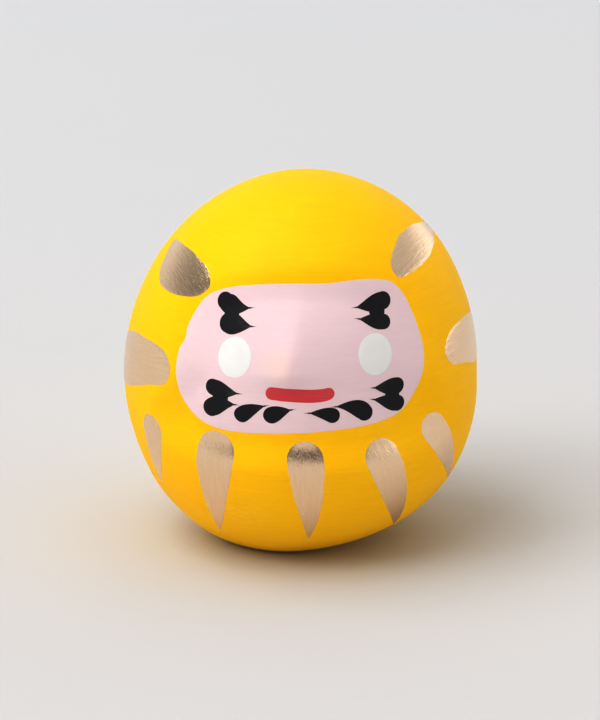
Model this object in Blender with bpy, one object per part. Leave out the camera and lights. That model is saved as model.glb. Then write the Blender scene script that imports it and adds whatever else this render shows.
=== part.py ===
"""Small hand-painted papier-mache daruma doll.

Two pressed-paper half shells are joined by a paper strip on the inside and closed below by a
clay weight, which keeps the doll upright, and a paper disc. Everything painted on the outside is
a thin film in an object of its own, laid over the shells.

Frame: metres, +Z up, the face looks along -Y, the origin is on the ground under the doll.
Places on the doll are directions from its inner centre: an azimuth in degrees, 0 at the face and
growing towards the doll's left hand (+X), and an elevation in degrees above the widest level.
"""

import math

import bmesh
import bpy

MM = 0.001

# --- driving dimensions --------------------------------------------------------------------
RADIUS = 28.5 * MM  # at the widest level
WIDEST_Z = 28.0 * MM  # height of the widest level, and of the inner centre
CROWN_RISE = 32.2 * MM  # the upper half is an ellipse of this semi-height
BELLY_DROP = 29.8 * MM  # semi-height of the lower half before the foot cuts it off
BELLY_FULLNESS = 2.4  # exponent of the lower half: 2 is an ellipse, more is fuller
FRONT_TO_BACK = 0.985  # depth over width
CROWN_LEAN = 0.9 * MM  # the hand-formed body leans this far to +X at the top
BELLY_SWAY = 0.35 * MM
FOOT_LEAN = -2.0 * MM  # and its foot sits this far to -X

WALL = 1.6 * MM  # pressed paper
GAP = 0.3 * MM  # left between solids that touch on the real doll
PAPER = 0.4 * MM  # base disc and inner strip
OPENING_RADIUS = 7.0 * MM  # hole in the foot, plugged by the clay
BASE_DISC_RADIUS = 10.0 * MM
SHELL_FOOT_Z = PAPER + GAP
CLAY_TOP_Z = 11.0 * MM
CLAY_CROWN = 1.6 * MM  # the clay stands this much higher in its middle
STRIP_HALF_WIDTH = 4.0 * MM
STRIP_END_ELEVATION = -26.0
STRIP_STEPS = 36
SOLE_EDGE = -66.0  # elevation of the last ring of the shells before their foot's opening
CLAY_LOWEST_EDGE = -64.0
CLAY_RING_RADII = (17 * MM, 9 * MM)  # rings on the clay's top
CLAY_TURNS = 32
DISC_TURNS = 32
SHARP_ANGLE = 35.0  # edges bent more than this are shaded as edges
FRONT_TURNS, BACK_TURNS, EVEN_TURNS = 38, 12, 36
FRONT_ROWS, BACK_ROWS, INNER_ROWS = 34, 18, 14

FILM = 0.3 * MM  # thickness of a paint film
PANEL_LIFT = GAP
MARK_LIFT = 2 * GAP + FILM  # marks that lie on the face panel

# --- relief of the face --------------------------------------------------------------------
FACE_ELEVATION = 19.5
FACE_HALF_WIDTH = 20.0 * MM
FACE_HALF_HEIGHT = 12.0 * MM
FACE_SINK = 1.3 * MM  # the face lies this far behind the body's curve
BROW_RISE = 0.5 * MM  # swelling of the body above the face
NOSE_RISE = 1.7 * MM
NOSE_ELEVATION = 14.5
NOSE_AZIMUTH = -4.2
NOSE_HALF_WIDTH = 4.2 * MM
NOSE_BRIDGE = 8.5 * MM  # how far the nose runs up between the brows
NOSE_END = 2.6 * MM
NOSE_ROUND = 0.3  # 0 is a sharp ridge
NOSE_SLANT = 0.12  # the ridge drifts this much sideways for each length up
FRONT_FADE = 0.2  # the relief fades out over this share of the depth, before the sides
CORNER_POWER = 3.4  # how square the sunk field of the face is
SINK_FULL = 0.72  # the field is level out to this share of its half sizes,
SINK_FADE = 0.46  # then rises to the body over this share more
CHIN_DROP = 0.42  # the fade starts this much farther out below the mouth
BROW_PLACE = 1.3  # the swelling's middle, in half heights above the face's middle
BROW_HALF_HEIGHT = 4.0 * MM
BROW_HALF_WIDTH = 13.0 * MM

# --- the face panel: a closed smooth curve through these (azimuth, elevation) points --------
FACE_PANEL = [
    (-45.1, 17.2), (-43.7, 21.7), (-43.6, 26.5), (-40.3, 34.3), (-34.6, 38.2), (-24.7, 40.7),
    (-9.1, 42.3), (9.6, 42.3), (22.3, 42.5), (32.3, 41.6), (38.0, 39.2), (41.8, 33.2), (44.4, 22.0),
    (43.8, 13.0), (40.4, 4.5), (36.4, 0.0), (30.4, -2.6), (19.2, -4.2), (-1.3, -5.4), (-19.3, -6.2),
    (-28.3, -6.0), (-36.5, -3.7), (-42.4, 1.6), (-44.8, 9.2),
]

# --- brush strokes on the face -------------------------------------------------------------
# Each mark: the (azimuth, elevation) of its frame, its strokes and the round blot that joins them,
# in millimetres in that frame, u towards +X and v up. A stroke: the centre of its round head, its
# middle, its tip, its widest width and how far its flanks swell. A blot: its centre and radius.
FACE_STROKES = {
    "brow_left": (
        (-24.9, 32.0),
        [((-2.7, 2.05), (-0.7, 1.25), (1.8, 1.4), 2.4, 0.4), ((-1.3, -1.35), (0.4, -1.55), (2.7, -1.5), 3.4, 0.15)],
        ((-1.15, 0.45), 1.33),
    ),
    "brow_right": (
        (25.9, 32.7),
        [((2.3, 1.55), (0.1, 1.2), (-2.3, 1.15), 2.7, 0.15), ((2.05, -1.7), (0.1, -1.3), (-2.2, -0.75), 2.5, 0.2)],
        ((1.35, 0.1), 1.42),
    ),
    "cheek_beard_left": (
        (-26.4, 4.8),
        [((-2.1, 1.55), (0.05, 1.15), (2.45, 1.05), 2.55, 0.2), ((-2.2, -1.85), (-0.4, -1.15), (2.0, -0.85), 2.75, 0.2)],
        ((-0.65, 0.1), 1.42),
    ),
    "cheek_beard_right": (
        (29.3, 5.7),
        [((2.0, 1.1), (0.05, 1.15), (-2.2, 1.35), 2.75, 0.1), ((2.2, -1.8), (0.3, -1.2), (-2.35, -0.55), 2.6, 0.2)],
        ((1.2, -0.15), 1.33),
    ),
    "chin_stroke_left_outer": ((-16.0, 1.8), [((-1.85, -0.9), (-0.25, 0.05), (2.0, 0.85), 2.6, 0.05)], None),
    "chin_stroke_left_inner": ((-6.5, 1.6), [((-1.5, -0.5), (-0.1, 0.05), (1.6, 0.5), 2.75, 0.0)], None),
    "chin_stroke_right_inner": ((6.9, 1.1), [((1.75, -0.35), (0.25, 0.05), (-2.0, 0.2), 2.45, 0.0)], None),
    "chin_stroke_right_outer": ((16.9, 2.2), [((2.3, -0.85), (0.4, 0.25), (-2.65, 0.55), 2.7, 0.2)], None),
}
EYES = {
    "eye_left": ((-23.6, 18.6), 2.92 * MM, 3.27 * MM, 5.0),
    "eye_right": ((25.9, 19.3), 2.97 * MM, 3.4 * MM, -1.0),
}
MOUTH_FRAME = (-0.3, 7.5)
MOUTH = [(-4.5, 0.28), (-2.45, 0.1), (0.0, -0.05), (1.95, -0.12), (3.7, 0.0), (4.5, 0.2)]  # centre line, mm
MOUTH_WIDTH = 2.15 * MM

# --- gold strokes on the belly: head centre, tip, widest width in mm -------------------------
GOLD_STROKES = {
    "gold_stroke_belly_left_far": ((-57.8, -12.1), (-62.3, -32.6), 5.4),
    "gold_stroke_belly_left": ((-29.7, -13.6), (-37.5, -47.5), 6.7),
    "gold_stroke_belly_centre": ((1.1, -14.2), (4.4, -48.0), 5.95),
    "gold_stroke_belly_right": ((27.1, -14.9), (49.1, -48.0), 5.95),
    "gold_stroke_belly_right_far": ((47.9, -8.7), (71.5, -33.5), 5.1),
}

# --- broader gold strokes round the sides: closed smooth curves through these points ---------
GOLD_PATCHES = {
    "gold_stroke_brow_left": [
        (-82.0, 46.8), (-63.0, 47.4), (-52.5, 46.0), (-44.5, 44.0), (-40.3, 41.3), (-39.2, 38.0),
        (-44.0, 34.5), (-54.0, 33.3), (-66.0, 33.7), (-73.0, 36.3), (-78.0, 40.2),
    ],
    "gold_stroke_brow_right": [
        (104.0, 48.5), (88.0, 52.5), (72.0, 54.8), (56.0, 54.0), (47.5, 51.2), (41.5, 48.0),
        (38.8, 44.5), (41.4, 41.0), (53.5, 42.3), (64.0, 43.7), (75.0, 45.5), (90.0, 47.0),
    ],
    "gold_stroke_cheek_left": [
        (-104.0, 6.0), (-88.0, 12.5), (-76.0, 16.0), (-66.0, 17.0), (-56.0, 16.7), (-50.2, 15.0),
        (-47.2, 10.5), (-49.5, 5.6), (-58.0, 3.4), (-68.0, 0.2), (-80.0, -2.8), (-92.0, -1.5),
    ],
    "gold_stroke_cheek_right": [
        (108.0, 13.0), (90.0, 19.0), (76.0, 21.5), (64.0, 21.3), (57.5, 19.2),
        (54.5, 15.5), (55.4, 12.3), (59.0, 9.6), (66.0, 8.3), (80.0, 4.8), (94.0, 6.5),
    ],
}

GOLD_TAPER = 1.45  # how slowly a tail narrows: higher keeps it wide for longer
INK_TAPER = 1.9
HEAD_STEPS = 6
TAIL_STEPS = 5
BLOT_STEPS = 20
EYE_STEPS = 20
JOINED_STEPS = 26  # rays from a blot to the edge of its mark
PANEL_RINGS = 8
LAID_SPACING = 3.0 * MM  # a film's points lie about this far apart, to follow the body


# --- the body's surface --------------------------------------------------------------------
def direction(azimuth, elevation):
    a, e = math.radians(azimuth), math.radians(elevation)
    return (math.cos(e) * math.sin(a), -math.cos(e) * math.cos(a), math.sin(e))


def unit(v):
    length = math.sqrt(sum(c * c for c in v))
    return tuple(c / length for c in v)


def dot(a, b):
    return sum(x * y for x, y in zip(a, b))


def cross(a, b):
    return (a[1] * b[2] - a[2] * b[1], a[2] * b[0] - a[0] * b[2], a[0] * b[1] - a[1] * b[0])


def lean(z):
    """Sideways shift of the hand-formed body at height z."""
    if z >= WIDEST_Z:
        return CROWN_LEAN * (z - WIDEST_Z) / CROWN_RISE
    down = min(1.0, (WIDEST_Z - z) / WIDEST_Z)
    return BELLY_SWAY * math.sin(math.pi * down) + FOOT_LEAN * down**6


def turned_reach(d):
    """Distance from the inner centre to the plain turned body along the unit direction d."""
    across = math.hypot(d[0], d[1] / FRONT_TO_BACK) / RADIUS
    if d[2] >= 0:
        return 1.0 / math.hypot(across, d[2] / CROWN_RISE)
    down = -d[2] / BELLY_DROP
    reach = 1.0 / math.hypot(across, down)
    for _ in range(12):
        value = (across * reach) ** 2 + (down * reach) ** BELLY_FULLNESS - 1.0
        slope = 2 * across**2 * reach + BELLY_FULLNESS * down**BELLY_FULLNESS * reach ** (
            BELLY_FULLNESS - 1
        )
        reach -= value / slope
    return reach


def smooth(x):
    x = min(1.0, max(0.0, x))
    return x * x * (3 - 2 * x)


def frame_at(azimuth, elevation):
    """Unit direction outward, unit u (level, towards +X at the face) and unit v (up)."""
    out = direction(azimuth, elevation)
    a = math.radians(azimuth)
    u = (math.cos(a), math.sin(a), 0.0)
    return out, u, cross(out, u) if cross(out, u)[2] > 0 else cross(u, out)


def to_flat(frame, d):
    """Lengths along u and v from the frame's centre to d, measured over the body."""
    out, u, v = frame
    turn = math.acos(min(1.0, max(-1.0, dot(out, d))))
    side = math.hypot(dot(u, d), dot(v, d))
    scale = turned_reach(out) * turn / side if side > 1e-9 else 0.0
    return dot(u, d) * scale, dot(v, d) * scale


def from_flat(frame, along_u, along_v):
    """The direction that lies along_u and along_v over the body from the frame's centre."""
    out, u, v = frame
    length = math.hypot(along_u, along_v)
    if length < 1e-9:
        return out
    turn = length / turned_reach(out)
    side = [(u[i] * along_u + v[i] * along_v) / length for i in range(3)]
    return unit([math.cos(turn) * out[i] + math.sin(turn) * side[i] for i in range(3)])


FACE_FRAME = frame_at(0.0, FACE_ELEVATION)
NOSE_FRAME = frame_at(NOSE_AZIMUTH, NOSE_ELEVATION)


def relief(d):
    """How far the modelled face stands off the plain turned body along d."""
    if d[1] >= 0:
        return 0.0
    u, v = to_flat(FACE_FRAME, d)
    out = abs(u / FACE_HALF_WIDTH) ** CORNER_POWER + abs(v / FACE_HALF_HEIGHT) ** CORNER_POWER
    start = SINK_FULL + CHIN_DROP * smooth(-v / FACE_HALF_HEIGHT)
    sink = FACE_SINK * (1 - smooth((out ** (1 / CORNER_POWER) - start) / SINK_FADE))
    above = (v - BROW_PLACE * FACE_HALF_HEIGHT) / BROW_HALF_HEIGHT
    brow = BROW_RISE * math.exp(-(above**2) - (u / BROW_HALF_WIDTH) ** 2)
    nu, nv = to_flat(NOSE_FRAME, d)
    run = NOSE_BRIDGE if nv > 0 else NOSE_END
    nu -= NOSE_SLANT * nv
    ridge = math.exp(NOSE_ROUND - math.hypot(NOSE_ROUND, nu / NOSE_HALF_WIDTH))
    nose = NOSE_RISE * ridge * math.exp(-((nv / run) ** 2))
    return (brow + nose - sink) * smooth(-d[1] / FRONT_FADE)


def on_body(d, lift=0.0, floor=0.0):
    """The point along d, lift outside the body's surface, and never below floor."""
    reach = turned_reach(d) + relief(d) + lift
    if d[2] < 0:
        reach = min(reach, (WIDEST_Z - floor) / -d[2])
    z = WIDEST_Z + reach * d[2]
    return (reach * d[0] + lean(z), reach * d[1], z)


# --- mesh helpers --------------------------------------------------------------------------
def clear_scene():
    for item in list(bpy.data.objects):
        bpy.data.objects.remove(item, do_unlink=True)


def material(name, colour, roughness, metallic=0.0):
    made = bpy.data.materials.new(name)
    made.use_nodes = True
    shader = made.node_tree.nodes["Principled BSDF"]
    shader.inputs["Base Color"].default_value = (*colour, 1.0)
    shader.inputs["Roughness"].default_value = roughness
    shader.inputs["Metallic"].default_value = metallic
    made.diffuse_color = (*colour, 1.0)
    return made


def add_object(name, bm, look):
    bmesh.ops.remove_doubles(bm, verts=bm.verts[:], dist=1e-7)
    bmesh.ops.recalc_face_normals(bm, faces=bm.faces[:])
    mesh = bpy.data.meshes.new(name)
    bm.to_mesh(mesh)
    bm.free()
    mesh.shade_smooth()
    mesh.set_sharp_from_angle(angle=math.radians(SHARP_ANGLE))
    mesh.materials.append(look)
    made = bpy.data.objects.new(name, mesh)
    bpy.context.scene.collection.objects.link(made)
    return made


def bridge(bm, ring, other):
    """Quads between two rings with as many points each."""
    for i in range(len(ring)):
        j = (i + 1) % len(ring)
        bm.faces.new((ring[i], ring[j], other[j], other[i]))


def fan(bm, ring, middle):
    for i in range(len(ring)):
        bm.faces.new((ring[i], ring[(i + 1) % len(ring)], middle))


def steps(first, last, count):
    return [first + (last - first) * i / count for i in range(count + 1)]


# --- shells --------------------------------------------------------------------------------
def hollow_body(azimuths, outer_rows, inner_rows):
    """The whole hollow body, open at the foot, with the given rows from crown to foot."""
    bm = bmesh.new()
    inner_floor = SHELL_FOOT_Z + WALL
    foot_edge = [-math.degrees(math.atan2(WIDEST_Z - z, OPENING_RADIUS)) for z in (SHELL_FOOT_Z, inner_floor)]
    last = None
    for lift, floor, edge, rows in (
        (0.0, SHELL_FOOT_Z, foot_edge[0], outer_rows),
        (-WALL, inner_floor, foot_edge[1], inner_rows),
    ):
        elevations = steps(90.0, SOLE_EDGE, rows)[1:] + [edge]
        rings = [
            [bm.verts.new(on_body(direction(a, e), lift, floor)) for a in azimuths]
            for e in elevations
        ]
        fan(bm, rings[0], bm.verts.new(on_body((0.0, 0.0, 1.0), lift, floor)))
        for ring, below in zip(rings, rings[1:]):
            bridge(bm, ring, below)
        if last:
            bridge(bm, last, rings[-1])
        last = rings[-1]
    return bm


def half_shell(name, side, azimuths, outer_rows, inner_rows, look):
    """Half of the hollow body: side -1 keeps the front, side 1 the back."""
    bm = hollow_body(azimuths, outer_rows, inner_rows)
    bmesh.ops.recalc_face_normals(bm, faces=bm.faces[:])
    cut = bmesh.ops.bisect_plane(
        bm,
        geom=bm.verts[:] + bm.edges[:] + bm.faces[:],
        dist=1e-7,
        plane_co=(0, side * GAP / 2, 0),
        plane_no=(0, -side, 0),
        clear_outer=True,
    )
    edges = [e for e in cut["geom_cut"] if isinstance(e, bmesh.types.BMEdge)]
    bmesh.ops.contextual_create(bm, geom=edges)
    return add_object(name, bm, look)


def seam_strip(look):
    """Paper strip glued over the joint inside: up one side, over the crown, down the other."""
    bm = bmesh.new()
    inner, outer = WALL + GAP + PAPER, WALL + GAP
    tilts = steps(-math.degrees(STRIP_HALF_WIDTH / RADIUS), math.degrees(STRIP_HALF_WIDTH / RADIUS), 3)
    sections = []
    for turn in steps(STRIP_END_ELEVATION, 180 - STRIP_END_ELEVATION, STRIP_STEPS):
        t = math.radians(turn)
        section = []
        for lift, row in ((-outer, tilts), (-inner, tilts[::-1])):
            for tilt in row:
                k = math.radians(tilt)
                d = (math.cos(t) * math.cos(k), math.sin(k), math.sin(t) * math.cos(k))
                section.append(bm.verts.new(on_body(unit(d), lift)))
        sections.append(section)
    for section, following in zip(sections, sections[1:]):
        bridge(bm, section, following)
    bm.faces.new(sections[0])
    bm.faces.new(sections[-1])
    return add_object("seam_strip", bm, look)


def clay_weight(look):
    """Clay lump pressed into the foot, with a plug that fills the opening."""
    bm = bmesh.new()
    azimuths = steps(0.0, 360.0, CLAY_TURNS)[:-1]
    floor = SHELL_FOOT_Z + WALL + GAP
    plug = OPENING_RADIUS - GAP

    def level_ring(radius, z):
        return [
            bm.verts.new(
                (
                    radius * math.sin(math.radians(a)) + lean(z),
                    -radius * math.cos(math.radians(a)) * FRONT_TO_BACK,
                    z,
                )
            )
            for a in azimuths
        ]

    def wall_ring(elevation):
        return [bm.verts.new(on_body(direction(a, elevation), -WALL - 2 * GAP, floor)) for a in azimuths]

    top_edge = -math.degrees(math.asin((WIDEST_Z - CLAY_TOP_Z) / (RADIUS - WALL)))
    crown = [(r, CLAY_TOP_Z + CLAY_CROWN * (1 - (r / RADIUS) ** 2)) for r in CLAY_RING_RADII]
    rings = [level_ring(plug, SHELL_FOOT_Z), level_ring(plug, floor)]
    rings += [wall_ring(e) for e in steps(CLAY_LOWEST_EDGE, top_edge, 5)]
    rings += [level_ring(r, z) for r, z in crown]
    fan(bm, rings[0], bm.verts.new((lean(SHELL_FOOT_Z), 0, SHELL_FOOT_Z)))
    for ring, above in zip(rings, rings[1:]):
        bridge(bm, ring, above)
    top = CLAY_TOP_Z + CLAY_CROWN
    fan(bm, rings[-1], bm.verts.new((lean(top), 0, top)))
    return add_object("clay_weight", bm, look)


def base_paper(look):
    """Flat disc that closes the foot, and the face that the doll stands on."""
    bm = bmesh.new()
    bmesh.ops.create_cone(
        bm,
        cap_ends=True,
        segments=DISC_TURNS,
        radius1=BASE_DISC_RADIUS,
        radius2=BASE_DISC_RADIUS,
        depth=PAPER,
    )
    bmesh.ops.translate(bm, verts=bm.verts[:], vec=(lean(0.0), 0.0, PAPER / 2))
    return add_object("base_paper", bm, look)


# --- paint films ---------------------------------------------------------------------------
def film(name, centre, rim, lift, look, rings=None):
    """A closed film over the region inside rim, a ring of directions seen from centre."""
    bm = bmesh.new()
    if rings is None:
        far = max(math.acos(min(1.0, dot(centre, d))) for d in rim) * RADIUS
        rings = max(2, round(far / LAID_SPACING))
    sides = []
    for height in (lift, lift + FILM):
        middle = bm.verts.new(on_body(centre, height))
        loops = []
        for k in range(1, rings + 1):
            s = k / rings
            loops.append(
                [
                    bm.verts.new(on_body(unit([c + s * (r - c) for c, r in zip(centre, d)]), height))
                    for d in rim
                ]
            )
        fan(bm, loops[0], middle)
        for loop, wider in zip(loops, loops[1:]):
            bridge(bm, loop, wider)
        sides.append(loops[-1])
    bridge(bm, *sides)
    return add_object(name, bm, look)


def smooth_loop(points, per_span):
    """Closed Catmull-Rom curve through the points."""
    made = []
    count = len(points)
    for i in range(count):
        p0, p1, p2, p3 = (points[(i + k - 1) % count] for k in range(4))
        for s in range(per_span):
            t = s / per_span
            made.append(
                tuple(
                    0.5
                    * (
                        2 * b
                        + (c - a) * t
                        + (2 * a - 5 * b + 4 * c - d) * t**2
                        + (3 * b - a - 3 * c + d) * t**3
                    )
                    for a, b, c, d in zip(p0, p1, p2, p3)
                )
            )
    return made


def stroke_outline(head, middle, tip, width, taper, swell=0.0):
    """Drop-shaped brush mark along a bent line: a round head, drawn out to a point at tip."""
    bend = [2 * m - (h + t) / 2 for h, m, t in zip(head, middle, tip)]
    upper, lower = [], []
    for i in range(TAIL_STEPS):
        t = i / TAIL_STEPS
        x, y = (
            (1 - t) ** 2 * h + 2 * t * (1 - t) * b + t**2 * e for h, b, e in zip(head, bend, tip)
        )
        along = [(1 - t) * (b - h) + t * (e - b) for h, b, e in zip(head, bend, tip)]
        half = width / 2 * (1 + swell * math.sin(math.pi * t)) * (1 - t**taper) / math.hypot(*along)
        upper.append((x - along[1] * half, y + along[0] * half))
        lower.append((x + along[1] * half, y - along[0] * half))
    turn = math.atan2(bend[1] - head[1], bend[0] - head[0]) + math.pi / 2
    arc = [
        (head[0] + width / 2 * math.cos(turn + a), head[1] + width / 2 * math.sin(turn + a))
        for a in steps(0.0, math.pi, HEAD_STEPS)
    ]
    return [tuple(tip)] + upper[:0:-1] + arc + lower[1:]


def farthest_hit(outline, angle):
    """How far the ray from (0, 0) at angle runs before it leaves the outline for good."""
    ray = (math.cos(angle), math.sin(angle))
    found = 0.0
    for p, q in zip(outline, outline[1:] + outline[:1]):
        edge = (q[0] - p[0], q[1] - p[1])
        turn = ray[0] * edge[1] - ray[1] * edge[0]
        if abs(turn) < 1e-15:
            continue
        reach = (p[0] * edge[1] - p[1] * edge[0]) / turn
        share = (p[0] * ray[1] - p[1] * ray[0]) / turn
        if -1e-6 <= share <= 1 + 1e-6 and reach > found:
            found = reach
    return found


def joined_outline(outlines, tips):
    """Outer edge of shapes that all reach (0, 0), with each tip kept sharp."""
    angles = [math.tau * i / JOINED_STEPS for i in range(JOINED_STEPS)]
    angles += [math.atan2(t[1], t[0]) % math.tau for t in tips]
    made = []
    for angle in sorted(angles):
        reach = max(farthest_hit(outline, angle) for outline in outlines)
        made.append((reach * math.cos(angle), reach * math.sin(angle)))
    return made


def ink_mark(name, place, strokes, blot, look):
    frame = frame_at(*place)
    middle = blot[0] if blot else (0.0, 0.0)

    def placed(point):
        return tuple((c - m) * MM for c, m in zip(point, middle))

    outlines = [
        stroke_outline(placed(head), placed(bend), placed(tip), width * MM, INK_TAPER, swell)
        for head, bend, tip, width, swell in strokes
    ]
    outline = outlines[0]
    if blot:
        radius = blot[1] * MM
        turns = steps(0.0, math.tau, BLOT_STEPS)[:-1]
        outlines.append([(radius * math.cos(a), radius * math.sin(a)) for a in turns])
        outline = joined_outline(outlines, [placed(stroke[2]) for stroke in strokes])
    shift = [m * MM for m in middle]
    rim = [from_flat(frame, shift[0] + x, shift[1] + y) for x, y in outline]
    return film(name, from_flat(frame, *shift), rim, MARK_LIFT, look)


def eye(name, place, half_width, half_height, tilt, look):
    frame = frame_at(*place)
    turn = math.radians(tilt)
    rim = []
    for a in steps(0.0, math.tau, EYE_STEPS)[:-1]:
        x, y = half_width * math.cos(a), half_height * math.sin(a)
        rim.append(
            from_flat(frame, x * math.cos(turn) - y * math.sin(turn), x * math.sin(turn) + y * math.cos(turn))
        )
    return film(name, frame[0], rim, MARK_LIFT, look)


def mouth(look):
    """A band of even width along the mouth's line, with round ends."""
    frame = frame_at(*MOUTH_FRAME)
    half = MOUTH_WIDTH / 2
    line = [(x * MM, y * MM) for x, y in MOUTH]
    rim = [(x, y + half) for x, y in line]
    rim += [
        (line[-1][0] + half * math.cos(a), line[-1][1] + half * math.sin(a))
        for a in (math.pi / 4, 0.0, -math.pi / 4)
    ]
    rim += [(x, y - half) for x, y in line[::-1]]
    rim += [
        (line[0][0] - half * math.cos(a), line[0][1] + half * math.sin(a))
        for a in (-math.pi / 4, 0.0, math.pi / 4)
    ]
    return film("mouth", frame[0], [from_flat(frame, *p) for p in rim], MARK_LIFT, look)


def face_panel(look):
    rim = [direction(a, e) for a, e in smooth_loop(FACE_PANEL, 2)]
    return film("face_panel", FACE_FRAME[0], rim, PANEL_LIFT, look, PANEL_RINGS)


def gold_stroke(name, head, tip, width, look):
    """A long drop on the body. Its frame sits a third of the way from head to tip."""
    start, end = direction(*head), direction(*tip)
    middle = unit([2 * s + e for s, e in zip(start, end)])
    azimuth = math.degrees(math.atan2(middle[0], -middle[1]))
    frame = frame_at(azimuth, math.degrees(math.asin(middle[2])))
    head, tip = to_flat(frame, start), to_flat(frame, end)
    half_way = [(h + t) / 2 for h, t in zip(head, tip)]
    outline = stroke_outline(head, half_way, tip, width * MM, GOLD_TAPER)
    return film(name, frame[0], [from_flat(frame, *p) for p in outline], PANEL_LIFT, look)


def gold_patch(name, outline, look):
    rim = [direction(a, e) for a, e in smooth_loop(outline, 2)]
    centre = unit([sum(d[i] for d in rim) for i in range(3)])
    return film(name, centre, rim, PANEL_LIFT, look)


def main():
    clear_scene()
    yellow = material("yellow_paint", (0.95, 0.47, 0.008), 0.55)
    pink = material("pink_paint", (0.86, 0.68, 0.72), 0.6)
    ink = material("black_paint", (0.017, 0.016, 0.02), 0.35)
    white = material("white_paint", (0.85, 0.85, 0.83), 0.5)
    red = material("red_paint", (0.47, 0.03, 0.04), 0.4)
    gold = material("gold_foil", (0.8, 0.6, 0.4), 0.3, metallic=1.0)
    clay = material("clay", (0.36, 0.22, 0.14), 0.9)
    paper = material("washi_paper", (0.78, 0.73, 0.62), 0.85)

    fine = steps(-90.0, 90.0, FRONT_TURNS) + steps(90.0, 270.0, BACK_TURNS)[1:-1]
    coarse = steps(0.0, 360.0, EVEN_TURNS)[:-1]
    half_shell("front_shell", -1, fine, FRONT_ROWS, INNER_ROWS, yellow)
    half_shell("back_shell", 1, coarse, BACK_ROWS, INNER_ROWS, yellow)
    seam_strip(paper)
    clay_weight(clay)
    base_paper(paper)

    face_panel(pink)
    for name, (place, half_width, half_height, tilt) in EYES.items():
        eye(name, place, half_width, half_height, tilt, white)
    for name, (place, strokes, blot) in FACE_STROKES.items():
        ink_mark(name, place, strokes, blot, ink)
    mouth(red)
    for name, (head, tip, width) in GOLD_STROKES.items():
        gold_stroke(name, head, tip, width, gold)
    for name, outline in GOLD_PATCHES.items():
        gold_patch(name, outline, gold)


main()
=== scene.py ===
"""Looks of the small hand-painted papier-mache daruma doll.

The body is worked out again from the same rules as the solids, at a finer spacing: a turned form
with a shallow modelled face. Every painted mark is a thin closed film laid over that surface.

Frame: metres, +Z up, the face looks along -Y. Places on the doll are directions from its inner
centre, as an azimuth in degrees (0 at the face, growing towards +X) and an elevation in degrees.
Lengths inside the outlines of marks are millimetres, u towards +X and v up.
"""

import math
import bmesh
import bpy
import numpy as np
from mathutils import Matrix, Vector
from mathutils.geometry import delaunay_2d_cdt


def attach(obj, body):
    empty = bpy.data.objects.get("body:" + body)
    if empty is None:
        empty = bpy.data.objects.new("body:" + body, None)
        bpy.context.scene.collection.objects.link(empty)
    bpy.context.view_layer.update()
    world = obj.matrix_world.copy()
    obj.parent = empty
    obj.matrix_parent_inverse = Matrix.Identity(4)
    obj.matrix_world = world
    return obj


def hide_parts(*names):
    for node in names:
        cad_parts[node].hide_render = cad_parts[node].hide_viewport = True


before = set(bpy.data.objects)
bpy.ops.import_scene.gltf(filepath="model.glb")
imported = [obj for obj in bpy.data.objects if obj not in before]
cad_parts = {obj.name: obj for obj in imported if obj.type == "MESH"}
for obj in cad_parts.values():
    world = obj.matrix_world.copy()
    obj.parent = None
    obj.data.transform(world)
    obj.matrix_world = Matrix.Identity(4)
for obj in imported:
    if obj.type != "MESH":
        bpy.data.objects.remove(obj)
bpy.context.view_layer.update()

MM = 0.001

# --- the body, with the sizes of the solids -------------------------------------------------
RADIUS = 28.5
WIDEST_Z = 28.0
CROWN_RISE = 32.2
BELLY_DROP = 29.8
BELLY_FULLNESS = 2.4
FRONT_TO_BACK = 0.985
CROWN_LEAN = 0.9
BELLY_SWAY = 0.35
FOOT_LEAN = -2.0
WALL = 1.6
FOOT_Z = 0.45
OPENING_RADIUS = 7.0
BASE_RADIUS = 10.0

FACE_ELEVATION = 19.5
FACE_HALF_WIDTH = 20.0
FACE_HALF_HEIGHT = 12.0
FACE_SINK = 1.3
BROW_RISE = 0.5
BROW_PLACE = 1.3  # the swelling's middle, in half heights above the face's middle
BROW_HALF_HEIGHT = 4.0
BROW_HALF_WIDTH = 13.0
NOSE_RISE = 1.7
NOSE_ELEVATION = 14.5
NOSE_AZIMUTH = -4.2
NOSE_HALF_WIDTH = 4.2
NOSE_BRIDGE = 8.5
NOSE_END = 2.6
NOSE_ROUND = 0.3  # 0 is a sharp ridge
NOSE_SLANT = 0.12  # the ridge drifts this much sideways for each length up
CORNER_POWER = 3.4  # how square the sunk field of the face is
SINK_FULL = 0.72  # the field is level out to this share of its half sizes,
SINK_FADE = 0.46  # then rises to the body over this share more
CHIN_DROP = 0.42  # the fade starts this much farther out below the mouth
FRONT_FADE = 0.2  # the relief fades out over this share of the depth, before the sides
CREASE_DEPTH = 0.05
CREASE_HALF_HEIGHT = 0.35
CREASE_HALF_WIDTH = 2.2
CREASE_SLOPE = 0.18
CREASE_WAVE = 0.5
CREASE_WAVE_LENGTH = 1.4
REACH_STEPS = 12  # Newton steps that find the plain body's surface

# --- thickness of the layers of paint, in millimetres ---------------------------------------
PANEL_THICK = 0.045
MARK_THICK = 0.05
GOLD_THICK = 0.04
SUNK = 0.08  # the underside of a film lies this far inside the body
EDGE_SOFT = 0.1  # a film's rounded edge is about this wide,
EDGE_DROP = 0.6  # and loses this share of the film's thickness
FILM_SHARP = 40.0  # degrees

FACE_PANEL = [
    (-45.1, 17.2), (-43.7, 21.7), (-43.6, 26.5), (-40.3, 34.3), (-34.6, 38.2), (-24.7, 40.7),
    (-9.1, 42.3), (9.6, 42.3), (22.3, 42.5), (32.3, 41.6), (38.0, 39.2), (41.8, 33.2), (44.4, 22.0),
    (43.8, 13.0), (40.4, 4.5), (36.4, 0.0), (30.4, -2.6), (19.2, -4.2), (-1.3, -5.4), (-19.3, -6.2),
    (-28.3, -6.0), (-36.5, -3.7), (-42.4, 1.6), (-44.8, 9.2),
]
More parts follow.
